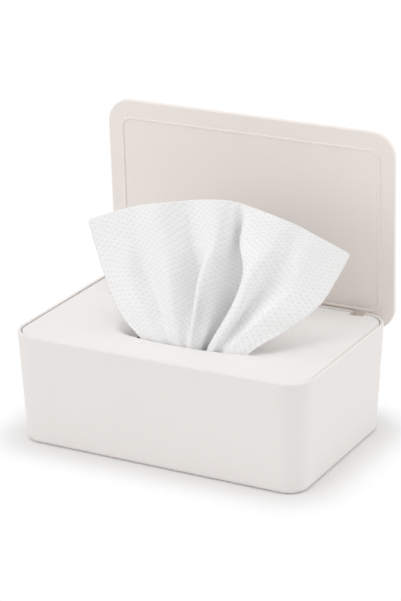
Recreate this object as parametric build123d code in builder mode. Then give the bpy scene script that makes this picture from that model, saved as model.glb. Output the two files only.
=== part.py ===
from build123d import *
import os
from math import cos, radians, sin

# A tabletop dispenser for folded wet wipes. Millimetres, +Z up.
# The origin is the middle of the box's footprint, on the surface that the box stands on.
# X runs along the long side, -Y is the front and +Y is the hinge side.

os.makedirs("parts", exist_ok=True)

# The open box
box_length = 190.0  # along X, outside, at the rim
box_depth = 122.0  # along Y, outside, at the rim
box_height = 68.2  # standing surface to the top of the rim
side_draft = 3.7  # how far each side has leaned in by the time it reaches the base
corner_radius = 16.0  # upright corners, at the rim
wall = 1.9
floor_thickness = 2.4
base_edge_radius = 3.0
floor_corner_radius = 1.0  # inside, where the walls meet the floor
rim_outer_radius = 1.0
rim_inner_radius = 0.5
ledge_width = 2.2  # shelf inside the rim that carries the cover
ledge_band = 1.2  # height of the shelf's upright edge

# Non-slip pads let into the underside
pad_radius = 7.0
pad_thickness = 1.2
pad_proud = 0.05
pad_edge_radius = 0.3
pad_inset = 17.0  # pad centre to the outside of the base, both ways

# The cover with its slot
plate_thickness = 2.0
plate_drop = 0.5  # top of the cover below the rim
rim_gap = 0.6  # all round, between cover and rim
plate_edge_radius = 0.5
seat_clearance = 0.05
slot_y = -3.0
throat_half_length = 39.5
throat_half_depth = 26.5
throat_corner_radius = 6.0
throat_end_bow = 3.0  # how far the slot's ends bow out between its corners
throat_side_bow = 4.0  # and its long sides
throat_depth = 12.0  # top of the cover to the end of the throat
funnel_radius = 7.0
throat_lip_radius = 0.6
skirt_height = 3.6
skirt_thickness = 1.4
skirt_gap = 0.6  # between the skirt and the shelf

# The hinge
hinge_end_inset = 21.0  # middle of each hinge arm, in from the end of the box
hinge_inset = 4.0  # pin axis, in from the back of the rim
hinge_drop = 7.05  # pin axis, down from the top of the rim
arm_width = 7.5
arm_radius = 2.4
arm_side_gap = 0.75
arm_turning_gap = 0.3
ear_thickness = 3.0
ear_radius = 1.7
ear_gap = 0.3
pin_radius = 0.8
pin_running_clearance = 0.05
pin_seat_clearance = 0.01
pin_end_setback = 0.2

# The lid, stored open
lid_end_setback = 0.5  # closed lid inside the rim at each end
lid_front_setback = 0.15  # and at the front
lid_back_overhang = 0.65  # closed lid behind the rim
lid_thickness = 3.2
lid_corner_radius = 15.0
lid_open_angle = 88.0  # degrees from closed
lid_gap = 0.8  # closed lid above the rim
lid_outer_radius = 1.2
lid_inner_radius = 0.7
seal_end_inset = 9.5  # middle of the bead, in from the lid's ends
seal_side_inset = 11.25  # and in from its front and back
seal_corner_radius = 6.0
seal_width = 2.0
seal_groove = 1.0
seal_proud = 0.6

# The wipes
wipe_end_gap = 1.4  # from the stack to the end walls, at the floor
wipe_side_gap = 5.4  # from the stack to the front and back walls, at the floor
wipe_count = 16
wipe_thickness = 1.8  # two loose plies
wipe_spacing = 0.2
ply_thickness = 1.3  # the pulled wipe, with its embossing and air
tail_thickness = 1.0
tail_inset = 10.0  # tail of the pulled wipe, in from the stack's front and back

# The pulled wipe's fan, seen from the front. Rises are above the top of the cover.
fan_left_reach = 70.0  # upper left corner
fan_left_rise = 59.0
fan_crown_reach = 22.0  # highest point
fan_crown_rise = 82.5
fan_right_reach = 91.0  # upper right corner
fan_right_rise = 57.0
fan_left_bow = 5.2  # how far each edge bows out between its ends
fan_right_bow = 3.5
fan_side_bow = 8.0
fan_low_rise = 12.0
fan_low_left = 60.0
fan_low_right = 66.0
fan_mid_rise = 35.0
fan_mid_left = 70.0
fan_mid_right = 90.0
fan_top_left = 84.0
fan_top_right = 116.0
fan_mouth_spread = 0.5  # past the throat's ends, on the level of the cover's top
mouth_room_left = 8.0  # between the slot's left end and the wipe, on the same level
throat_room_left = 12.0  # between the gathered wipe and the throat's ends
throat_room_right = 11.5
foot_draw = 5.0  # how much further the wipe draws in, down to the stack
foot_forward = 3.0  # middle of the wipe's foot, in front of the slot's middle
throat_room_front = 4.5  # between the gathered wipe and the throat's front wall
mouth_forward = 3.5  # from there to its middle on the level of the cover's top
fan_low_forward = 19.0  # middle of the fan, in front of the slot's middle
fan_mid_forward = 12.0
fan_top_forward = 5.0
fold_depth_inside = 3.6
fold_depth_outside = 5.0

# Levels and places that follow from the sizes above
base_level = pad_proud
floor_level = base_level + floor_thickness
pad_x = box_length / 2 - side_draft - pad_inset
pad_y = box_depth / 2 - side_draft - pad_inset
plate_top = box_height - plate_drop
plate_under = plate_top - plate_thickness
ledge_level = plate_under - seat_clearance
ledge_slope_top = ledge_level - ledge_band
ledge_foot = ledge_slope_top - ledge_width
ledge_inset = wall + ledge_width
throat_end = plate_top - throat_depth
hinge_spread = box_length / 2 - hinge_end_inset
hinge_y = box_depth / 2 - hinge_inset
hinge_z = box_height - hinge_drop
notch_width = arm_width + 2 * arm_side_gap
notch_front = hinge_y - arm_radius - arm_turning_gap
notch_floor = hinge_z - arm_radius - arm_turning_gap
ear_span = notch_width + 2 * ear_thickness
lid_length = box_length - 2 * lid_end_setback
lid_depth = box_depth - lid_front_setback + lid_back_overhang
lid_back = hinge_inset + lid_back_overhang  # pin axis to the lid's back edge
lid_middle = lid_back - lid_depth / 2
lid_lift = hinge_drop + lid_gap  # pin axis to the lid's inner face
seal_length = lid_length - 2 * seal_end_inset
seal_depth = lid_depth - 2 * seal_side_inset
wipe_width = box_length - 2 * (side_draft + wall + wipe_end_gap)
folded_depth = box_depth - 2 * (side_draft + wall + wipe_side_gap)
stack_level = floor_level + wipe_spacing
stack_top = stack_level + wipe_count * (wipe_thickness + wipe_spacing)
sides = {"left": -1, "right": 1}


def lean(z):
    """How far the outer wall stands in at this level, from its place at the rim."""
    return side_draft * (box_height - z) / box_height


def outline(z, inset):
    """A rounded rectangle on level z, this far inside the outer wall."""
    gone = lean(z) + inset
    with BuildSketch(Plane.XY.offset(z)) as sketch:
        RectangleRounded(box_length - 2 * gone, box_depth - 2 * gone, corner_radius - gone)
    return sketch.sketch


def at_level(shapes, z):
    """The faces or edges that lie flat on level z."""
    return shapes.filter_by_position(Axis.Z, z - 0.01, z + 0.01)


# Base: leaning walls, rounded at the foot and the rim, with the cover's shelf inside
with BuildPart() as base_box:
    loft([outline(base_level, 0), outline(box_height, 0)], ruled=True)
    fillet(at_level(base_box.faces(), base_level).edges(), base_edge_radius)
    loft([outline(floor_level, wall), outline(ledge_foot, wall)], ruled=True, mode=Mode.SUBTRACT)
    for low, high, low_inset, high_inset in (
        (ledge_foot, ledge_slope_top, wall, ledge_inset),
        (ledge_slope_top, ledge_level, ledge_inset, ledge_inset),
        (ledge_level, box_height, wall, wall),
    ):
        loft([outline(low, low_inset), outline(high, high_inset)], ruled=True, mode=Mode.SUBTRACT)
    fillet(at_level(base_box.faces(), floor_level).edges(), floor_corner_radius)
    rim_face = at_level(base_box.faces(), box_height)[0]
    fillet(rim_face.outer_wire().edges(), rim_outer_radius)
    rim_face = at_level(base_box.faces(), box_height)[0]
    fillet(rim_face.inner_wires()[0].edges(), rim_inner_radius)
    # Openings in the back wall and shelf for the hinge arms, and pockets for the cover's ears
    for side in sides.values():
        with BuildSketch(Plane.XY.offset(box_height)):
            with Locations((side * hinge_spread, hinge_y)):
                Rectangle(notch_width, 2 * (hinge_y - notch_front + hinge_inset))
        extrude(amount=notch_floor - box_height, mode=Mode.SUBTRACT)
        with BuildSketch(Plane.XY.offset(box_height)):
            with Locations((side * hinge_spread, hinge_y)):
                Rectangle(ear_span + 2 * ear_gap, 2 * (ear_radius + ear_gap))
            with Locations((side * hinge_spread, hinge_y)):
                Rectangle(
                    ear_span + 2 * ear_gap,
                    hinge_inset + wall + ledge_width,
                    align=(Align.CENTER, Align.MAX),
                )
        extrude(amount=notch_floor - box_height, mode=Mode.SUBTRACT)
    # Seats for the pads
    with BuildSketch(Plane.XY.offset(base_level)):
        with GridLocations(2 * pad_x, 2 * pad_y, 2, 2):
            Circle(pad_radius + seat_clearance)
    extrude(amount=pad_thickness - pad_proud, mode=Mode.SUBTRACT)
base_box.part.label = "base_box"
export_step(base_box.part, "parts/base_box.step")

# Four pads
for end, y in {"front": -1, "back": 1}.items():
    for name, x in sides.items():
        with BuildPart() as pad:
            with BuildSketch(Plane.XY):
                with Locations((x * pad_x, y * pad_y)):
                    Circle(pad_radius)
            extrude(amount=pad_thickness)
            fillet(at_level(pad.edges(), 0), pad_edge_radius)
        pad.part.label = f"pad_{end}_{name}"
        export_step(pad.part, f"parts/pad_{end}_{name}.step")

def slot_outline(grow):
    """The throat's outline, this much larger all round: its sides and ends bow out, its corners are round."""
    corner_x = throat_half_length + grow - throat_end_bow
    corner_y = throat_half_depth + grow - throat_side_bow
    front_left, back_left = (-corner_x, slot_y - corner_y), (-corner_x, slot_y + corner_y)
    front_right, back_right = (corner_x, slot_y - corner_y), (corner_x, slot_y + corner_y)
    with BuildSketch(Plane.XY.offset(throat_end)) as sketch:
        with BuildLine():
            SagittaArc(front_left, back_left, throat_end_bow)
            SagittaArc(back_left, back_right, throat_side_bow)
            SagittaArc(back_right, front_right, throat_end_bow)
            SagittaArc(front_right, front_left, throat_side_bow)
        make_face()
        fillet(sketch.vertices(), throat_corner_radius + grow)
    return sketch.sketch


# Cover: a plate with a flared throat, a locating skirt and the ears that carry the hinge pins
with BuildPart() as cover_plate:
    loft([outline(plate_under, wall + rim_gap), outline(plate_top, wall + rim_gap)], ruled=True)
    fillet(at_level(cover_plate.faces(), plate_top).edges(), plate_edge_radius)
    extrude(slot_outline(plate_thickness), amount=plate_under - throat_end)
    underside = at_level(cover_plate.faces(), plate_under)[0]
    fillet(underside.inner_wires()[0].edges(), funnel_radius - plate_thickness)
    extrude(slot_outline(0), amount=throat_depth, mode=Mode.SUBTRACT)
    top_face = at_level(cover_plate.faces(), plate_top)[0]
    fillet(top_face.inner_wires()[0].edges(), funnel_radius)
    fillet(at_level(cover_plate.edges(), throat_end), throat_lip_radius)
    skirt_inset = lean(ledge_level) + wall + ledge_width + skirt_gap
    with BuildSketch(Plane.XY.offset(plate_under - skirt_height)):
        RectangleRounded(
            box_length - 2 * skirt_inset, box_depth - 2 * skirt_inset, corner_radius - skirt_inset
        )
        RectangleRounded(
            box_length - 2 * (skirt_inset + skirt_thickness),
            box_depth - 2 * (skirt_inset + skirt_thickness),
            corner_radius - skirt_inset - skirt_thickness,
            mode=Mode.SUBTRACT,
        )
    extrude(amount=skirt_height)
    for side in sides.values():
        # Ears on both sides of the arm, rounded below the pin
        with BuildSketch(Plane.YZ.offset(side * hinge_spread - ear_span / 2)):
            with Locations((hinge_y, hinge_z)):
                Circle(ear_radius)
                Rectangle(2 * ear_radius, plate_under - hinge_z, align=(Align.CENTER, Align.MIN))
        extrude(amount=ear_span)
        with BuildSketch(Plane.XY.offset(plate_top)):
            with Locations((side * hinge_spread, notch_front)):
                Rectangle(notch_width, hinge_inset * 3, align=(Align.CENTER, Align.MIN))
        extrude(amount=notch_floor - plate_top, mode=Mode.SUBTRACT)
        with BuildSketch(Plane.YZ.offset(side * hinge_spread - ear_span / 2)):
            with Locations((hinge_y, hinge_z)):
                Circle(pin_radius + pin_running_clearance)
        extrude(amount=ear_span, mode=Mode.SUBTRACT)
cover_plate.part.label = "cover_plate"
export_step(cover_plate.part, "parts/cover_plate.step")

# Lid: drawn on a plane through the pin axis that turns with the lid.
# On it, y runs to the lid's back edge and z points out of the lid's outer face.
lid_plane = Plane(
    origin=(0, hinge_y, hinge_z),
    x_dir=(1, 0, 0),
    z_dir=(0, sin(radians(lid_open_angle)), cos(radians(lid_open_angle))),
)
inner_plane = lid_plane.offset(lid_lift)


def arm_plane(x):
    """A plane across the pin axis, with its x and y along the lid's y and z."""
    return Plane(origin=(x, hinge_y, hinge_z), x_dir=lid_plane.y_dir, z_dir=(1, 0, 0))


def seal_ring(width):
    """The bead's track on the sketch in hand."""
    with Locations((0, lid_middle)):
        RectangleRounded(seal_length + width, seal_depth + width, seal_corner_radius + width / 2)
        RectangleRounded(
            seal_length - width, seal_depth - width, seal_corner_radius - width / 2, mode=Mode.SUBTRACT
        )


with BuildPart() as flip_lid:
    with BuildSketch(inner_plane):
        with Locations((0, lid_middle)):
            RectangleRounded(lid_length, lid_depth, lid_corner_radius)
    extrude(amount=lid_thickness)
    broad_faces = flip_lid.faces().sort_by(Axis((0, 0, 0), lid_plane.z_dir))
    inner_edges = broad_faces[0].edges()
    outer_edges = broad_faces[-1].edges()
    fillet(inner_edges, lid_inner_radius)
    fillet(outer_edges, lid_outer_radius)
    with BuildSketch(inner_plane):
        seal_ring(seal_width)
    extrude(amount=seal_groove, mode=Mode.SUBTRACT)
    for side in sides.values():
        with BuildSketch(arm_plane(side * hinge_spread - arm_width / 2)):
            Circle(arm_radius)
            Rectangle(2 * arm_radius, lid_lift + lid_thickness / 2, align=(Align.CENTER, Align.MIN))
        extrude(amount=arm_width)
        with BuildSketch(arm_plane(side * hinge_spread - arm_width / 2)):
            Circle(pin_radius + pin_seat_clearance)
        extrude(amount=arm_width, mode=Mode.SUBTRACT)
flip_lid.part.label = "flip_lid"
export_step(flip_lid.part, "parts/flip_lid.step")

# Soft bead in the lid's groove, with a rounded crest
with BuildPart() as lid_seal:
    with BuildSketch(inner_plane.offset(-seal_proud)):
        seal_ring(seal_width)
    extrude(amount=seal_proud + seal_groove)
    crest = lid_seal.faces().sort_by(Axis((0, 0, 0), lid_plane.z_dir))[0]
    fillet(crest.edges(), seal_width * 0.4)
lid_seal.part.label = "lid_seal"
export_step(lid_seal.part, "parts/lid_seal.step")

# Hinge pins
pin_length = ear_span - 2 * pin_end_setback
for name, side in sides.items():
    with BuildPart() as pin:
        with BuildSketch(Plane.YZ.offset(side * hinge_spread - pin_length / 2)):
            with Locations((hinge_y, hinge_z)):
                Circle(pin_radius)
        extrude(amount=pin_length)
        chamfer(pin.edges().filter_by(GeomType.CIRCLE), pin_end_setback)
    pin.part.label = f"hinge_pin_{name}"
    export_step(pin.part, f"parts/hinge_pin_{name}.step")

# The stack: each wipe is folded once, with its fold at the front and at the back by turns
for number in range(wipe_count):
    wipe_level = stack_level + number * (wipe_thickness + wipe_spacing)
    fold_end = -1 if number % 2 else 1
    with BuildPart() as folded_wipe:
        with BuildSketch(Plane.YZ.offset(-wipe_width / 2)) as wipe_section:
            with Locations((0, wipe_level + wipe_thickness / 2)):
                Rectangle(folded_depth, wipe_thickness)
            fillet(wipe_section.vertices().sort_by(Axis.Y)[::fold_end][:2], wipe_thickness * 0.45)
        extrude(amount=wipe_width)
    folded_wipe.part.label = f"folded_wipe_{number + 1:02d}"
    export_step(folded_wipe.part, f"parts/folded_wipe_{number + 1:02d}.step")

# The pulled wipe: a fan of pleats that gathers in the throat, with its tail still on the stack.
# Each level has its height, left and right edges, middle y and fold depth.
throat_left = throat_room_left - throat_half_length
throat_right = throat_half_length - throat_room_right
throat_middle = slot_y - throat_half_depth + throat_room_front + fold_depth_inside
mouth_middle = throat_middle - mouth_forward
low_middle = slot_y - fan_low_forward
mid_middle = slot_y - fan_mid_forward
top_middle = slot_y - fan_top_forward
mouth_left = mouth_room_left - throat_half_length
mouth_right = throat_half_length + fan_mouth_spread
fan_levels = (
    (stack_top, throat_left + foot_draw, throat_right - foot_draw, slot_y - foot_forward, fold_depth_inside),
    (throat_end, throat_left, throat_right, throat_middle, fold_depth_inside),
    (plate_top, mouth_left, mouth_right, mouth_middle, fold_depth_outside),
    (plate_top + fan_low_rise, -fan_low_left, fan_low_right, low_middle, fold_depth_outside),
    (plate_top + fan_mid_rise, -fan_mid_left, fan_mid_right, mid_middle, fold_depth_outside * 0.8),
    (plate_top + fan_crown_rise * 1.03, -fan_top_left, fan_top_right, top_middle, fold_depth_outside * 0.5),
)
# Folds across the fan, as shares of its width: to the back and to the front by turns
fold_places = (0.19, 0.30, 0.405, 0.485, 0.60, 0.68, 0.77)


def fan_section(z, left, right, middle, depth):
    """The pleated strip on one level: straight flanks joined by a round bend at each fold."""
    tips = [(left, middle)]
    for count, share in enumerate(fold_places):
        way = -1 if count % 2 else 1
        tips.append((left + share * (right - left), middle + way * depth))
    tips.append((right, middle))
    front = [Vector(x, y - ply_thickness / 2) for x, y in tips]
    back = [Vector(x, y + ply_thickness / 2) for x, y in tips]
    with BuildSketch(Plane.XY.offset(z)) as sketch:
        with BuildLine():
            for face in (front, back):
                here = face[0]
                for before, tip, after in zip(face, face[1:], face[2:]):
                    bend_start = tip + (before - tip) * 0.3
                    bend_end = tip + (after - tip) * 0.3
                    bend_middle = (bend_start + bend_end) * 0.3 + tip * 0.4
                    Line(here, bend_start)
                    ThreePointArc(bend_start, bend_middle, bend_end)
                    here = bend_end
                Line(here, face[-1])
            Line(front[0], back[0])
            Line(front[-1], back[-1])
        make_face()
    return sketch.sketch


with BuildPart() as pulled_wipe:
    loft([fan_section(*level) for level in fan_levels], ruled=True)
    # Its upper edge and its two free sides, seen from the front
    left_tip = (-fan_left_reach, plate_top + fan_left_rise)
    crown = (fan_crown_reach, plate_top + fan_crown_rise)
    right_tip = (fan_right_reach, plate_top + fan_right_rise)
    left_mouth = (mouth_left - foot_draw, plate_top)
    right_mouth = (mouth_right, plate_top + wall)
    with BuildSketch(Plane.XZ):
        with BuildLine():
            SagittaArc(left_tip, crown, fan_left_bow)
            SagittaArc(crown, right_tip, fan_right_bow)
            SagittaArc(right_tip, right_mouth, fan_side_bow)
            Polyline(right_mouth, (mouth_right, 0), (mouth_left - foot_draw, 0), left_mouth, left_tip)
        make_face()
    extrude(amount=box_depth / 2, both=True, mode=Mode.INTERSECT)
    with BuildSketch(Plane.XY.offset(stack_top)):
        Rectangle(wipe_width, folded_depth - 2 * tail_inset)
    extrude(amount=tail_thickness)
pulled_wipe.part.label = "pulled_wipe"
export_step(pulled_wipe.part, "parts/pulled_wipe.step")
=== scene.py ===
import math

import bmesh
import bpy
from mathutils import Matrix, Vector, noise


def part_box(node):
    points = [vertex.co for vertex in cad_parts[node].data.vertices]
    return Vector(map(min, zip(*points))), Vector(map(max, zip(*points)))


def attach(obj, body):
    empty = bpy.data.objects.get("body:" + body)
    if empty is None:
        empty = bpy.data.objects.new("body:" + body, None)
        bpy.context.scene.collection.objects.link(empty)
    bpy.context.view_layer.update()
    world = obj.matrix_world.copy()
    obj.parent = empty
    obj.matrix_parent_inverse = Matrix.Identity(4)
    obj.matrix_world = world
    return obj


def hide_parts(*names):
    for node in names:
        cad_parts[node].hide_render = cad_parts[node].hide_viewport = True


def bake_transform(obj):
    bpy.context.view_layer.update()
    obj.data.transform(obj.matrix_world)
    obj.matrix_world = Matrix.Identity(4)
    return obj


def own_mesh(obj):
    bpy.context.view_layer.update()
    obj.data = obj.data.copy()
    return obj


bl_info = {
    "name": "Wipes dispenser",
    "version": (1, 0, 0),
    "blender": (4, 5, 0),
    "location": "3D View > Sidebar > Dispenser",
    "description": "Dresses a lidded wipes dispenser: moulded case, folded wipes and one pulled wipe",
    "category": "Object",
}

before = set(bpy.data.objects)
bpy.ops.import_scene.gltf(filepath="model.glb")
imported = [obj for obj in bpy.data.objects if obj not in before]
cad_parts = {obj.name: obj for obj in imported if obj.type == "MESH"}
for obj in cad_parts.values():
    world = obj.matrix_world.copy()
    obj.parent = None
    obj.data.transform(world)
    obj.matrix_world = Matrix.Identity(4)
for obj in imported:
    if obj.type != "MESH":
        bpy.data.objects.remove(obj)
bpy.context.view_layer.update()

MM = 0.001
PAD_NODES = ("pad_front_left", "pad_front_right", "pad_back_left", "pad_back_right")
PIN_NODES = ("hinge_pin_left", "hinge_pin_right")
STACK_NODES = sorted(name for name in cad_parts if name.startswith("folded_wipe_"))


# Shader maths


class Value:
    """A node's output, so that shader maths reads as plain sums."""

    def __init__(self, finish, socket):
        self.finish = finish
        self.socket = socket

    def maths(self, operation, first, second):
        return self.finish.node("ShaderNodeMath", {"operation": operation}, {0: first, 1: second})

    def __add__(self, other):
        return self.maths("ADD", self, other)

    def __radd__(self, other):
        return self.maths("ADD", other, self)

    def __sub__(self, other):
        return self.maths("SUBTRACT", self, other)

    def __rsub__(self, other):
        return self.maths("SUBTRACT", other, self)

    def __mul__(self, other):
        return self.maths("MULTIPLY", self, other)

    def __rmul__(self, other):
        return self.maths("MULTIPLY", other, self)

    def cosine(self):
        return self.finish.node("ShaderNodeMath", {"operation": "COSINE"}, {0: self})

    def largest(self, other):
        return self.maths("MAXIMUM", self, other)


class Finish:
    """The nodes of a material or of the world, and the one way in which they are added."""

    def __init__(self, owner):
        self.owner = owner
        owner.use_nodes = True
        self.nodes = owner.node_tree.nodes
        self.links = owner.node_tree.links
        self.nodes.clear()

    def node(self, kind, settings=None, sockets=None, output=0):
        made = self.nodes.new(kind)
        for name, value in (settings or {}).items():
            setattr(made, name, value)
        for key, value in (sockets or {}).items():
            if isinstance(value, Value):
                self.links.new(value.socket, made.inputs[key])
            else:
                made.inputs[key].default_value = value
        return Value(self, made.outputs[output]) if made.outputs else None

    def place(self):
        """Object coordinates, in metres."""
        return self.node("ShaderNodeTexCoord", output="Object")

    def noise(self, vector, scale, detail=2.0, roughness=0.5):
        return self.node(
            "ShaderNodeTexNoise",
            {"noise_dimensions": "3D"},
            {"Vector": vector, "Scale": scale, "Detail": detail, "Roughness": roughness},
        )

    def blend(self, factor, first, second):
        """A colour between two colours."""
        return self.node(
            "ShaderNodeMix", {"data_type": "RGBA"}, {0: factor, 6: first, 7: second}, output=2
        )

    def relief(self, height, distance, strength=1.0, below=None):
        sockets = {"Height": height, "Distance": distance, "Strength": strength}
        if below is not None:
            sockets["Normal"] = below
        return self.node("ShaderNodeBump", None, sockets)

    def seen(self):
        """1 for the rays that show a background: from the camera, and through gloss or glass."""
        path = self.node("ShaderNodeLightPath", output="Is Camera Ray")
        others = path.socket.node.outputs
        return path.largest(Value(self, others["Is Glossy Ray"])).largest(
            Value(self, others["Is Transmission Ray"])
        )

    def surface(self, shader, output="ShaderNodeOutputMaterial"):
        self.node(output, None, {"Surface": shader})
        return self.owner


def new_finish(name):
    return Finish(bpy.data.materials.new(name))


def linear(colour, share=1.0):
    """A stored colour as a socket takes it, made lighter or darker by a share."""
    return (colour[0] * share, colour[1] * share, colour[2] * share, 1.0)


def moulded_plastic(name, colour, gloss):
    """Satin polypropylene: a fine spark-eroded grain, faint flow clouds and a soft, slightly uneven sheen."""
    finish = new_finish(name)
    place = finish.place()
    clouds = finish.noise(place, 14.0, 3.0)
    grain = finish.noise(place, 2600.0, 2.0, 0.6)
    swell = finish.noise(place, 60.0, 2.0)
    tint = finish.blend(clouds, linear(colour, 0.985), linear(colour, 1.012))
    dull = gloss + clouds * 0.08 + grain * 0.05
    waves = finish.relief(swell, 0.00006)
    skin = finish.relief(grain, 0.000035, below=waves)
    shader = finish.node(
        "ShaderNodeBsdfPrincipled",
        None,
        {"Base Color": tint, "Roughness": dull, "Normal": skin, "IOR": 1.49},
    )
    return finish.surface(shader)


def rubber(name, colour):
    """Soft moulded rubber: matt, with a fine bloom on it."""
    finish = new_finish(name)
    place = finish.place()
    bloom = finish.noise(place, 350.0, 4.0)
    grain = finish.noise(place, 3000.0, 2.0)
    tint = finish.blend(bloom, linear(colour, 0.93), linear(colour, 1.04))
    shader = finish.node(
        "ShaderNodeBsdfPrincipled",
        None,
        {
            "Base Color": tint,
            "Roughness": 0.5 + bloom * 0.2,
            "Normal": finish.relief(grain, 0.00003),
            "IOR": 1.42,
        },
    )
    return finish.surface(shader)


def drawn_steel(name, colour):
    """A drawn steel pin: bright, with fine lines along its length."""
    finish = new_finish(name)
    drawn = finish.node(
        "ShaderNodeMapping", None, {"Vector": finish.place(), "Scale": (60.0, 6000.0, 6000.0)}
    )
    lines = finish.noise(drawn, 1.0, 2.0)
    tint = finish.blend(lines, linear(colour, 0.85), linear(colour, 1.0))
    shader = finish.node(
        "ShaderNodeBsdfPrincipled",
        None,
        {
            "Base Color": tint,
            "Metallic": 1.0,
            "Roughness": 0.2 + lines * 0.15,
            "Normal": finish.relief(lines, 0.00001),
        },
    )
    return finish.surface(shader)


def embossed_cloth(name, colour, sizes):
    """Damp nonwoven cloth: staggered dimples pressed into a felt of fine fibres.
    The UV map is the flat cloth.
    """
    finish = new_finish(name)
    flat = finish.node("ShaderNodeUVMap", {"uv_map": "flat"})
    across = finish.node("ShaderNodeSeparateXYZ", None, {0: flat})
    down = Value(finish, across.socket.node.outputs[1])
    hollow = (0.0 - weave(across, down, sizes, Value.cosine)).largest(0.0)
    stretched = finish.node("ShaderNodeMapping", None, {"Vector": flat, "Scale": (900.0, 2600.0, 1.0)})
    fibres = finish.noise(stretched, 1.0, 4.0, 0.65)
    felt = finish.noise(flat, 420.0, 3.0)
    hollow = hollow * (0.45 + felt * 0.8)
    # The tint paints the dimples darker: painted shade in their hollows, with the pressed cloth's slightly
    # greyer tone; the fibres vary it at random.
    tint = finish.blend(hollow * 0.85 + fibres * 0.15, linear(colour, 1.045), linear(colour, 0.91))
    fuzz = finish.relief(fibres, 0.00003)
    shader = finish.node(
        "ShaderNodeBsdfPrincipled",
        None,
        {
            "Base Color": tint,
            "Roughness": 0.72 + felt * 0.16,
            "Normal": finish.relief(1.0 - hollow, 0.00012, below=fuzz),
            "IOR": 1.36,
            "Subsurface Weight": 0.3,
            "Subsurface Scale": 0.002,
            "Subsurface Radius": (1.0, 1.0, 1.0),
        },
    )
    return finish.surface(shader)


def wipe_cloth(context):
    """The one material of all the wipes, made when it is first asked for."""
    scene = context.scene
    made = bpy.data.materials.get("wipe_cloth")
    return made or embossed_cloth("wipe_cloth", scene.dispenser_colours.cloth, scene.dispenser_sizes)


# Settings


class DispenserSizes(bpy.types.PropertyGroup):
    """The cloth's sizes."""

    cloth_width: bpy.props.FloatProperty(
        name="Cloth width", description="Flat width of one wipe", default=0.176, unit="LENGTH"
    )
    cloth_length: bpy.props.FloatProperty(
        name="Cloth length", description="Flat length of one wipe", default=0.2, unit="LENGTH"
    )
    cloth_shown: bpy.props.FloatProperty(
        name="Length pulled out",
        description="Flat length of the pulled wipe from its top hem to its neck",
        default=0.12,
        unit="LENGTH",
    )
    cloth_thickness: bpy.props.FloatProperty(
        name="Cloth thickness", description="Thickness of the cloth", default=0.00045, unit="LENGTH"
    )
    dimple_across: bpy.props.FloatProperty(
        name="Dimple pitch across",
        description="Distance between dimples in one row",
        default=0.0055,
        unit="LENGTH",
    )
    dimple_down: bpy.props.FloatProperty(
        name="Dimple pitch down",
        description="Distance between every second row",
        default=0.0033,
        unit="LENGTH",
    )
    dimple_depth: bpy.props.FloatProperty(
        name="Dimple depth", description="Depth of the pressed dimples", default=0.0002, unit="LENGTH"
    )
    corner_radius: bpy.props.FloatProperty(
        name="Corner radius", description="Radius of the cloth's corners", default=0.0022, unit="LENGTH"
    )
    crease_height: bpy.props.FloatProperty(
        name="Crease height", description="Height of the small creases", default=0.0005, unit="LENGTH"
    )


class DispenserColours(bpy.types.PropertyGroup):
    """The colours of the pieces."""

    case: bpy.props.FloatVectorProperty(
        name="Box", description="Colour of the box", subtype="COLOR", default=(0.83, 0.798, 0.774)
    )
    plate: bpy.props.FloatVectorProperty(
        name="Plate", description="Colour of the slotted cover", subtype="COLOR", default=(0.85, 0.835, 0.82)
    )
    # The lid's colour is raised lighter, as painted light that brightens its shaded inner face.
    lid: bpy.props.FloatVectorProperty(
        name="Lid", description="Colour of the lid", subtype="COLOR", default=(0.88, 0.815, 0.77)
    )
    # The seal's colour is lighter than the lid's, as painted light over the shade on the sides of its bead.
    seal: bpy.props.FloatVectorProperty(
        name="Seal", description="Colour of the lid's seal", subtype="COLOR", default=(0.893, 0.828, 0.785)
    )
    pads: bpy.props.FloatVectorProperty(
        name="Pads", description="Colour of the pads", subtype="COLOR", default=(0.55, 0.55, 0.54)
    )
    pins: bpy.props.FloatVectorProperty(
        name="Pins", description="Colour of the hinge pins", subtype="COLOR", default=(0.6, 0.6, 0.6)
    )
    cloth: bpy.props.FloatVectorProperty(
        name="Cloth", description="Colour of the wipes", subtype="COLOR", default=(0.9, 0.9, 0.902)
    )


class DispenserLight(bpy.types.PropertyGroup):
    """The stage's light."""

    sky: bpy.props.FloatProperty(
        name="Sky", description="Strength of the even light from all sides", default=0.62
    )
    left: bpy.props.FloatProperty(
        name="Left lamp", description="Power of the soft lamp at the front left", default=27.3, unit="POWER"
    )
    front: bpy.props.FloatProperty(
        name="Front lamp", description="Power of the soft lamp at the front right", default=2.8, unit="POWER"
    )
    right: bpy.props.FloatProperty(
        name="Right lamp", description="Power of the soft lamp at the right", default=6.4, unit="POWER"
    )
    top: bpy.props.FloatProperty(
        name="Top lamp", description="Power of the soft lamp overhead", default=9.3, unit="POWER"
    )


# The camera, which stands where the photograph's camera stood

PHOTO_WIDTH = 401  # pixels
PHOTO_HEIGHT = 601
CAMERA_AROUND = math.radians(28.18)
CAMERA_ABOVE = math.radians(20.406)
CAMERA_TILT = math.radians(-0.79)
CAMERA_PLACE = Vector((0.60617, -1.13162, 0.56098))
CAMERA_LENS = 141.1
CAMERA_SENSOR = 36.0


def camera_axes():
    """The camera's right, up and back."""
    back = Vector(
        (
            math.sin(CAMERA_AROUND) * math.cos(CAMERA_ABOVE),
            -math.cos(CAMERA_AROUND) * math.cos(CAMERA_ABOVE),
            math.sin(CAMERA_ABOVE),
        )
    )
    level = Vector((0, 0, 1)).cross(back).normalized()
    up = back.cross(level)
    right = level * math.cos(CAMERA_TILT) + up * math.sin(CAMERA_TILT)
    up = up * math.cos(CAMERA_TILT) - level * math.sin(CAMERA_TILT)
    return right, up, back


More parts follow.
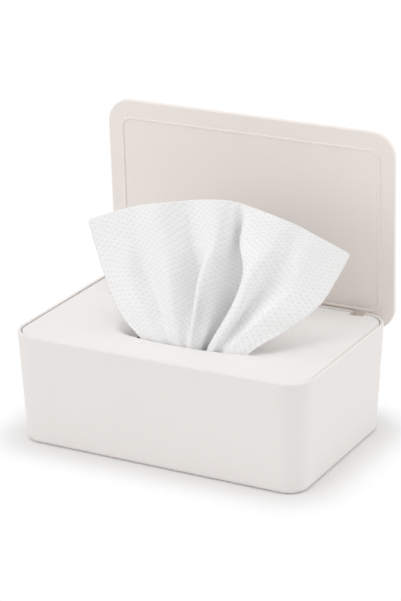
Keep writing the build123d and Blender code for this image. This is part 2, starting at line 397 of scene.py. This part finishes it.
def seen(across, down, behind):
    """A point that the photograph shows, in millimetres. It is read off the picture's lines and shades, in
    pixels across and down, and it lies so many millimetres behind the box's middle, a depth that was chosen.
    The point is rounded to half a millimetre.
    """
    right, up, back = camera_axes()
    focus = CAMERA_LENS / CAMERA_SENSOR * PHOTO_HEIGHT
    ray = right * ((across - PHOTO_WIDTH / 2) / focus) - up * ((down - PHOTO_HEIGHT / 2) / focus) - back
    point = CAMERA_PLACE + ray * ((behind * MM - CAMERA_PLACE.y) / ray.y)
    return Vector([round(2 * length / MM) / 2 for length in point])


# Cloth

SAMPLES_PER_DIMPLE = 6
SOFTNESS_AT_HEM = 0.95  # how round the folds are at the top hem
SOFTNESS_LOST = 0.45  # from the top hem down to the neck
NECK_LEVEL = 44  # millimetres, below the slot
NECK_MIDDLE = -14
NECK_DEPTH = 8  # from its middle to its front and back folds


def smooth_between(start, end, leave, arrive, share):
    """A point of the smooth curve from start to end that leaves and arrives along the given slopes."""
    a = share * share
    b = a * share
    return (
        start * (2 * b - 3 * a + 1)
        + leave * (b - 2 * a + share)
        + end * (3 * a - 2 * b)
        + arrive * (b - a)
    )


def line_point(points, share):
    """A point at a share of the way along a smooth line through the given points."""
    last = len(points) - 1
    index = min(int(share * last), last - 1)
    slopes = [
        (points[min(k + 1, last)] - points[max(k - 1, 0)]) / (min(k + 1, last) - max(k - 1, 0))
        for k in (index, index + 1)
    ]
    return smooth_between(
        points[index], points[index + 1], slopes[0], slopes[1], share * last - index
    )


def cross_fold(points, softness, steps=12):
    """One row of the cloth: a smooth line through the folds' points. The softer, the rounder each fold is."""
    runs = [(b - a) for a, b in zip(points, points[1:])]
    ways = [runs[0].normalized()]
    ways += [(a.normalized() + b.normalized()).normalized() for a, b in zip(runs, runs[1:])]
    ways.append(runs[-1].normalized())
    row = []
    for k, run in enumerate(runs):
        reach = run.length * softness
        for step in range(steps):
            share = step / steps
            row.append(smooth_between(points[k], points[k + 1], ways[k] * reach, ways[k + 1] * reach, share))
    return row + [points[-1].copy()]


def evenly(row, count):
    """Points an equal distance apart along a row."""
    runs = [0.0]
    for a, b in zip(row, row[1:]):
        runs.append(runs[-1] + (b - a).length)
    spaced, k = [], 0
    for number in range(count):
        aim = runs[-1] * number / (count - 1)
        while k < len(row) - 2 and runs[k + 1] < aim:
            k += 1
        gap = runs[k + 1] - runs[k]
        spaced.append(row[k].lerp(row[k + 1], (aim - runs[k]) / gap if gap else 0.0))
    return spaced


def add_modifier(piece, kind, **settings):
    """A modifier on a piece, with its settings."""
    made = piece.modifiers.new(kind.title(), kind)
    for name, value in settings.items():
        setattr(made, name, value)


def thicken(piece, sizes):
    """Gives a sheet the cloth's thickness, half to each side."""
    add_modifier(piece, "SOLIDIFY", thickness=sizes.cloth_thickness, offset=0.0)


def new_piece(name, mesh_maker, material, body):
    """A finished mesh as an object at the origin, riding on a body."""
    mesh = bpy.data.meshes.new(name)
    mesh_maker.to_mesh(mesh)
    mesh_maker.free()
    for face in mesh.polygons:
        face.use_smooth = True
    mesh.materials.append(material)
    piece = bpy.data.objects.new(name, mesh)
    bpy.context.scene.collection.objects.link(piece)
    if body:
        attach(piece, body)
    return piece


def weave(across, down, sizes, cosine):
    """1 on the ground between the dimples, -1 in the middle of one. The rows of dimples wander a little."""
    swayed = across + cosine(down * 330.0 + across * 120.0) * (0.09 * sizes.dimple_across)
    lifted = down + cosine(across * 410.0 + down * 90.0) * (0.07 * sizes.dimple_down)
    turn = 2 * math.pi
    return cosine(swayed * (turn / sizes.dimple_across)) * cosine(lifted * (turn / sizes.dimple_down))


def round_corner(i, j, columns, reach_across, reach_down):
    """Where a grid point of the cloth goes, so that the two corners of its top hem come out round."""
    side = min(i, columns - i)
    a, b = max(1 - side / reach_across, 0.0), max(1 - j / reach_down, 0.0)
    if not a or not b:
        return i, j
    shrink = max(a, b) / math.hypot(a, b)
    side = (1 - a * shrink) * reach_across
    return (side if i < columns / 2 else columns - side), (1 - b * shrink) * reach_down


def between(lines, i, j):
    """A point between the grid's points."""
    a, b = min(int(i), len(lines[0]) - 2), min(int(j), len(lines) - 2)
    upper = lines[b][a].lerp(lines[b][a + 1], i - a)
    return upper.lerp(lines[b + 1][a].lerp(lines[b + 1][a + 1], i - a), j - b)


def cloth_mesh(columns, rows, sizes, place, dimple, crease):
    """A grid laid over a cloth surface. place(row) gives one row's points from the left hem to the right one.
    The UV map is the flat cloth, so that the dimples of the mesh and of its material fall together."""
    made = bmesh.new()
    bmesh.ops.create_grid(made, x_segments=columns, y_segments=rows, size=1.0)
    across, down = sizes.cloth_width / columns, dimple_step(sizes.dimple_down)
    corner = (sizes.corner_radius / across, sizes.corner_radius / down)
    spots = {}
    for vert in made.verts:
        i, j = round((vert.co.x + 1) / 2 * columns), round((1 - vert.co.y) / 2 * rows)
        spots[vert] = round_corner(i, j, columns, *corner)
    lines = [place(number / rows) for number in range(rows + 1)]
    for vert, (i, j) in spots.items():
        vert.co = between(lines, i, j)
    made.normal_update()
    lifts = {}
    for vert, (i, j) in spots.items():
        s, t = i / columns, j / rows
        wander = noise.noise(Vector((s * 17, t * 4.0, 2.3)))
        wander += 0.5 * noise.noise(Vector((s * 41, t * 9.0, 7.1)))
        uneven = 0.8 + 0.5 * noise.noise(Vector((s * 160, t * 110, 5.2)))
        hollow = max(-weave(i * across, j * down, sizes, math.cos), 0.0) ** 1.5
        lifts[vert] = vert.normal * (crease(s, t) * wander - dimple * uneven * hollow)
    for vert, lift in lifts.items():
        vert.co += lift
    flat = made.loops.layers.uv.new("flat")
    for face in made.faces:
        for loop in face.loops:
            i, j = spots[loop.vert]
            loop[flat].uv = (i * across, j * down)
    return made


def dimple_step(pitch):
    """The step of a grid that is fine enough for the dimples."""
    return pitch / SAMPLES_PER_DIMPLE


def placed(x, y, z):
    """A point that was given, in millimetres."""
    return Vector((x, y, z))


def gathered(x, y):
    """Where a fold passes the neck."""
    return Vector((x, y, NECK_LEVEL))


# The folds of the pulled wipe, from its left hem to its right one: ridges, valleys and creases between them.
# Each runs from the top hem down to the slot's front rim, and on to the neck. Most of their points are read
# off the photograph. The placed ones were moved from their readings, so the folds shade as there.
FAN_FOLDS = {
    "left hem": (
        seen(across=88, down=219, behind=-12),
        seen(across=99, down=258, behind=-14),
        seen(across=113, down=298, behind=-19),
        seen(across=126, down=321, behind=-26),
        seen(across=144, down=341.5, behind=-29.3),
        gathered(-20, -16),
    ),
    "left ridge": (
        seen(across=124, down=208.8, behind=-9),
        seen(across=127, down=248, behind=-11.5),
        placed(-37.2, -17.6, 94),
        placed(-23, -25.4, 77.8),
        seen(across=162, down=345.5, behind=-30),
        gathered(-15, -12),
    ),
    "left valley": (
        seen(across=136, down=206, behind=-8.5),
        seen(across=138, down=245, behind=-9.5),
        placed(-29.2, -9.4, 94.6),
        placed(-16.8, -16.2, 79),
        placed(-7.2, -27, 63.5),
        gathered(-12.5, -8),
    ),
    "second ridge": (
        seen(across=158, down=203, behind=-13),
        seen(across=162, down=241, behind=-14),
        seen(across=168, down=276, behind=-19),
        seen(across=172, down=312, behind=-25),
        seen(across=175, down=348, behind=-30.6),
        gathered(-8, -22),
    ),
    "second crease": (
        seen(across=180, down=201.2, behind=-7.5),
        seen(across=183, down=243, behind=-9),
        seen(across=180, down=278, behind=-14.5),
        seen(across=178.5, down=312, behind=-22.5),
        seen(across=179.5, down=349, behind=-30),
        gathered(-5.5, -15),
    ),
    "second valley": (
        seen(across=190, down=200.4, behind=-6),
        seen(across=193, down=243, behind=-4.5),
        seen(across=200, down=277, behind=-2),
        seen(across=194, down=312, behind=-13),
        seen(across=185.5, down=349.5, behind=-27),
        gathered(-3, -6),
    ),
    "middle ridge": (
        seen(across=222, down=199.6, behind=-8.5),
        placed(17.5, -12.5, 128),
        seen(across=201, down=275, behind=-18),
        seen(across=195, down=311, behind=-26.5),
        seen(across=189, down=350, behind=-30.8),
        gathered(1, -22),
    ),
    "middle crease": (
        seen(across=228, down=200.6, behind=-5),
        placed(19.5, -10.3, 127),
        placed(14.8, -15.8, 106),
        placed(12.3, -22, 85.8),
        seen(across=195, down=350, behind=-29.5),
        gathered(3, -18),
    ),
    "edge of the deep valley": (
        seen(across=235, down=202, behind=-3.5),
        placed(23, -6.2, 126),
        placed(18.3, -11.2, 104.4),
        placed(16, -17, 84.7),
        seen(across=200, down=350.5, behind=-26.5),
        gathered(5.5, -13),
    ),
    "deep valley": (
        seen(across=241, down=203.8, behind=-1.5),
        seen(across=240.5, down=239, behind=3.5),
        seen(across=245, down=272, behind=5),
        seen(across=233, down=307, behind=1),
        seen(across=207, down=351, behind=-17),
        gathered(8, -6),
    ),
    "front ridge, left edge": (
        seen(across=250, down=206.8, behind=-1.5),
        seen(across=241, down=240, behind=-5),
        seen(across=243.5, down=273, behind=-15),
        seen(across=232.5, down=307, behind=-24),
        seen(across=207.5, down=351, behind=-30.3),
        gathered(11, -18),
    ),
    "front ridge, right edge": (
        seen(across=286, down=220.5, behind=-1.5),
        seen(across=271, down=246, behind=-7),
        seen(across=251, down=276, behind=-17),
        seen(across=238, down=311, behind=-26),
        seen(across=213, down=351.5, behind=-30.8),
        gathered(14, -22),
    ),
    "right valley": (
        seen(across=300, down=226.8, behind=1.5),
        seen(across=290, down=252, behind=-1),
        placed(46, -5.5, 102.2),
        placed(36.7, -16.5, 85.3),
        placed(27.2, -27.5, 65.7),
        gathered(17, -8),
    ),
    "right ridge": (
        seen(across=316, down=235.6, behind=3.5),
        seen(across=304, down=258, behind=-0.5),
        seen(across=292, down=288, behind=-5),
        seen(across=262, down=318, behind=-20.5),
        seen(across=227, down=352.5, behind=-30.6),
        gathered(21, -21),
    ),
    "right crease": (
        seen(across=328, down=242, behind=6.5),
        seen(across=315, down=265, behind=3),
        seen(across=303, down=297, behind=-3),
        seen(across=273, down=324.5, behind=-18),
        seen(across=236, down=354, behind=-30),
        gathered(24, -9),
    ),
    "right hem": (
        seen(across=350.5, down=254, behind=12.5),
        seen(across=337, down=279, behind=9),
        seen(across=319, down=306, behind=1),
        seen(across=290, down=328, behind=-12),
        seen(across=250, down=353.5, behind=-29),
        gathered(28, -16),
    ),
}


def fan_row(share, count):
    """One row of the wipe's upper part, at a share of the way from its top hem to its neck."""
    points = [line_point([point * MM for point in fold], share) for fold in FAN_FOLDS.values()]
    return evenly(cross_fold(points, SOFTNESS_AT_HEM - SOFTNESS_LOST * share), count)


def foot_row(share, count):
    """One row of the wipe's lower part: gathered in the slot, then laid out over the stack to the back."""
    points = []
    for number, fold in enumerate(FAN_FOLDS.values()):
        neck = fold[-1] * MM
        ridge = (NECK_MIDDLE - fold[-1].y) / NECK_DEPTH
        drop = 0.0046 * ridge
        spread = number / (len(FAN_FOLDS) - 1) - 0.5
        in_throat = Vector((neck.x * 0.97, neck.y * 0.97, 0.0522))
        in_neck = Vector((neck.x, neck.y * 0.9 + 0.001, 0.0465))
        below_neck = Vector((neck.x * 1.35, 0.006 + neck.y * 0.6, 0.0430 - drop))
        over_stack = Vector((neck.x * 0.9 + 0.075 * spread, 0.026, 0.0408 - drop))
        at_hem = Vector((0.171 * spread, 0.0475, 0.0372 - 0.0018 * ridge))
        line = [in_throat, in_neck, below_neck, over_stack, at_hem]
        points.append(line_point(line, share))
    return evenly(cross_fold(points, 1.0), count)


# Operators


class DISPENSER_OT_case(bpy.types.Operator):
    """Gives the moulded case, its seal, pads and pins their finishes"""

    bl_idname = "dispenser.case"
    bl_label = "Case finishes"

    def execute(self, context):
        colours = context.scene.dispenser_colours
        wanted = {
            "base_box": moulded_plastic("box_plastic", colours.case, 0.42),
            "cover_plate": moulded_plastic("plate_plastic", colours.plate, 0.46),
            # The lid's plastic carries painted light: its colour is raised lighter to brighten its shaded
            # inner face.
            "flip_lid": moulded_plastic("lid_plastic", colours.lid, 0.42),
            # The seal's rubber carries painted light: lighter than the lid, to hide the shade at its bead's
            # sides.
            "lid_seal": rubber("seal_rubber", colours.seal),
        }
        pad = rubber("pad_rubber", colours.pads)
        pin = drawn_steel("pin_steel", colours.pins)
        wanted.update({name: pad for name in PAD_NODES})
        wanted.update({name: pin for name in PIN_NODES})
        for name, material in wanted.items():
            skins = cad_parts[name].data.materials
            skins.clear()
            skins.append(material)
        bead_round = 0.00095
        add_modifier(
            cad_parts["lid_seal"],
            "BEVEL",
            width=bead_round,
            segments=4,
            limit_method="ANGLE",
            angle_limit=math.radians(40),
        )
        return {"FINISHED"}


class DISPENSER_OT_stack(bpy.types.Operator):
    """Lays the folded wipes in the box, each a sheet folded once across its width"""

    bl_idname = "dispenser.stack"
    bl_label = "Folded wipes"

    def execute(self, context):
        sizes = context.scene.dispenser_sizes
        cloth = wipe_cloth(context)
        for number, node in enumerate(STACK_NODES):
            low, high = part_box(node)
            piece = self.folded_wipe(number, low, high, sizes, cloth)
            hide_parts(node)
        return {"FINISHED"}

    def folded_wipe(self, number, low, high, sizes, cloth):
        """A sheet folded once, in the space from low to high, its bend at the back and the front by turns."""
        side = 1 if number % 2 == 0 else -1
        air = 0.00016
        hem_room, side_room = 0.0012, 0.0016
        half_gap = (high.z - low.z) / 2 - sizes.cloth_thickness / 2 - air
        width = high.x - low.x
        depth = high.y - low.y - hem_room
        run = depth - half_gap
        total = 2 * run + math.pi * half_gap
        columns, rows = 56, 72
        made = bmesh.new()
        bmesh.ops.create_grid(made, x_segments=columns, y_segments=rows, size=1.0)
        flat = made.loops.layers.uv.new("flat")
        spots = {v: ((v.co.x + 1) / 2, (1 - v.co.y) / 2) for v in made.verts}
        for vert, (s, t) in spots.items():
            y, z = self.fold_over(t * total, depth, run, half_gap)
            seed = Vector((s * 5, t * 5, number * 3.7))
            drift = noise.noise(seed) * 0.0007
            ripple = noise.noise(seed * 2.3) * 0.00012
            hem = noise.noise(Vector((s * 7, number * 1.9, 4.4))) * 0.0005
            vert.co = Vector(
                (
                    (low.x + high.x) / 2 + (s - 0.5) * (width - side_room) + drift * 0.9,
                    side * (y + hem) + (low.y + high.y) / 2,
                    (low.z + high.z) / 2 + z + ripple,
                )
            )
        for face in made.faces:
            for loop in face.loops:
                s, t = spots[loop.vert]
                loop[flat].uv = (s * sizes.cloth_width, t * sizes.cloth_length)
        piece = new_piece("wipe_in_stack_%02d" % (number + 1), made, cloth, "base")
        thicken(piece, sizes)
        return piece

    def fold_over(self, along, depth, run, half_gap):
        """Y and Z at a length along the sheet: its lower ply, its bend and its upper ply."""
        bend = math.pi * half_gap
        if along < run:
            return -depth / 2 + along, -half_gap
        if along < run + bend:
            turn = (along - run) / half_gap
            return -depth / 2 + run + half_gap * math.sin(turn), -half_gap * math.cos(turn)
        return -depth / 2 + run - (along - run - bend), half_gap


class DISPENSER_OT_pulled_wipe(bpy.types.Operator):
    """Makes the wipe that stands in the slot: its pleated top and the foot that lies on the stack"""

    bl_idname = "dispenser.pulled_wipe"
    bl_label = "Pulled wipe"

    def execute(self, context):
        sizes = context.scene.dispenser_sizes
        cloth = wipe_cloth(context)
        columns = round(sizes.cloth_width / dimple_step(sizes.dimple_across))
        rows = round(sizes.cloth_shown / dimple_step(sizes.dimple_down))
        top = cloth_mesh(
            columns,
            rows,
            sizes,
            lambda share: fan_row(share, columns + 1),
            sizes.dimple_depth,
            lambda s, t: sizes.crease_height * (0.25 + 0.75 * t),
        )
        piece = new_piece("pulled_wipe_top", top, cloth, "wipe")
        thicken(piece, sizes)
        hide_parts("pulled_wipe")
        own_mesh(piece)
        hidden = sizes.cloth_length - sizes.cloth_shown
        columns, rows = 160, round(hidden / dimple_step(sizes.dimple_down))
        foot = cloth_mesh(
            columns,
            rows,
            sizes,
            lambda share: foot_row(share, columns + 1),
            0.0,
            lambda s, t: sizes.crease_height * 0.4,
        )
        piece = new_piece("pulled_wipe_foot", foot, cloth, None)
        thicken(piece, sizes)
        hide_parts("pulled_wipe")
        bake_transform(piece)
        return {"FINISHED"}


class DISPENSER_OT_stage(bpy.types.Operator):
    """Sets up the pale floor, the soft lamps and the camera"""

    bl_idname = "dispenser.stage"
    bl_label = "Stage"

    def execute(self, context):
        scene = context.scene
        light = scene.dispenser_light
        target = Vector((0, 0, 0.07))
        scene.view_settings.view_transform = "Standard"
        self.make_camera(scene)
        self.make_world(scene, light.sky)
        self.make_floor(scene)
        for name, power, place, size in (
            ("lamp_left", light.left, (-1.9, -2.9, 0.95), 2.8),
            ("lamp_front", light.front, (0.9, -2.4, 1.2), 2.0),
            ("lamp_right", light.right, (1.5, 0.6, 0.4), 1.2),
            ("lamp_top", light.top, (-0.1, 0.0, 1.7), 1.5),
        ):
            lamp = bpy.data.lights.new(name, "AREA")
            lamp.energy = power
            lamp.shape = "DISK"
            lamp.size = size
            shown = bpy.data.objects.new(name, lamp)
            shown.location = place
            aim = target - Vector(place)
            shown.rotation_euler = aim.to_track_quat("-Z", "Y").to_euler()
            scene.collection.objects.link(shown)
        return {"FINISHED"}

    def make_camera(self, scene):
        camera = bpy.data.objects.new("camera", bpy.data.cameras.new("camera"))
        camera.data.lens = CAMERA_LENS
        camera.data.sensor_width = CAMERA_SENSOR
        camera.data.clip_end = 20.0
        turned = Matrix(camera_axes()).transposed().to_4x4()
        camera.matrix_world = Matrix.Translation(CAMERA_PLACE) @ turned
        scene.collection.objects.link(camera)
        scene.camera = camera

    def make_world(self, scene, strength):
        scene.world = bpy.data.worlds.new("soft_sky")
        sky = Finish(scene.world)
        lit = sky.node("ShaderNodeBackground", None, {"Strength": strength, "Color": (1.0, 1.0, 1.0, 1.0)})
        white = sky.node("ShaderNodeBackground", None, {"Color": (1.0, 1.0, 1.0, 1.0)})
        mixed = sky.node("ShaderNodeMixShader", None, {0: sky.seen(), 1: lit, 2: white})
        sky.surface(mixed, "ShaderNodeOutputWorld")

    def make_floor(self, scene):
        """Pale paper that keeps the shadow near the box and is seen as plain white farther off."""
        shadow_core = (0.076, 0.042, 0.0)  # half its size
        fade_start, fade_end = 0.019, 0.049
        floor_reach = 6.0
        paper = new_finish("floor_paper")
        plain = paper.node("ShaderNodeBsdfDiffuse", None, {"Color": (0.9, 0.9, 0.9, 1.0)})
        white = paper.node("ShaderNodeEmission", None, {"Color": (1.0, 1.0, 1.0, 1.0)})
        away = paper.node("ShaderNodeVectorMath", {"operation": "ABSOLUTE"}, {0: paper.place()})
        away = paper.node("ShaderNodeVectorMath", {"operation": "SUBTRACT"}, {0: away, 1: shadow_core})
        away = paper.node("ShaderNodeVectorMath", {"operation": "MAXIMUM"}, {0: away, 1: (0.0, 0.0, 0.0)})
        away = paper.node("ShaderNodeVectorMath", {"operation": "LENGTH"}, {0: away}, output="Value")
        far = paper.node(
            "ShaderNodeMapRange",
            {"interpolation_type": "SMOOTHSTEP"},
            {"Value": away, "From Min": fade_start, "From Max": fade_end},
        )
        material = paper.surface(
            paper.node("ShaderNodeMixShader", None, {0: paper.seen() * far, 1: plain, 2: white})
        )
        made = bmesh.new()
        bmesh.ops.create_grid(made, x_segments=4, y_segments=4, size=floor_reach)
        mesh = bpy.data.meshes.new("floor")
        made.to_mesh(mesh)
        made.free()
        mesh.materials.append(material)
        floor = bpy.data.objects.new("floor", mesh)
        scene.collection.objects.link(floor)


class DISPENSER_PT_sidebar(bpy.types.Panel):
    """Lists the dispenser's pieces and its stage"""

    bl_label = "Wipes dispenser"
    bl_idname = "DISPENSER_PT_sidebar"
    bl_space_type = "VIEW_3D"
    bl_region_type = "UI"
    bl_category = "Dispenser"

    def draw(self, context):
        for group in ("dispenser_sizes", "dispenser_colours", "dispenser_light"):
            settings = getattr(context.scene, group)
            box = self.layout.box()
            for name in settings.__annotations__:
                box.prop(settings, name)
        for operator in OPERATORS:
            self.layout.operator(operator.bl_idname)


OPERATORS = (DISPENSER_OT_stage, DISPENSER_OT_case, DISPENSER_OT_stack, DISPENSER_OT_pulled_wipe)
GROUPS = {
    "dispenser_sizes": DispenserSizes,
    "dispenser_colours": DispenserColours,
    "dispenser_light": DispenserLight,
}


def register():
    for name, group in GROUPS.items():
        bpy.utils.register_class(group)
        setattr(bpy.types.Scene, name, bpy.props.PointerProperty(type=group))
    for operator in OPERATORS:
        bpy.utils.register_class(operator)
    bpy.utils.register_class(DISPENSER_PT_sidebar)


def unregister():
    bpy.utils.unregister_class(DISPENSER_PT_sidebar)
    for operator in reversed(OPERATORS):
        bpy.utils.unregister_class(operator)
    for name, group in reversed(list(GROUPS.items())):
        delattr(bpy.types.Scene, name)
        bpy.utils.unregister_class(group)


def main():
    register()
    bpy.ops.dispenser.stage()
    bpy.ops.dispenser.case()
    bpy.ops.dispenser.stack()
    bpy.ops.dispenser.pulled_wipe()


if __name__ == "__main__":
    main()
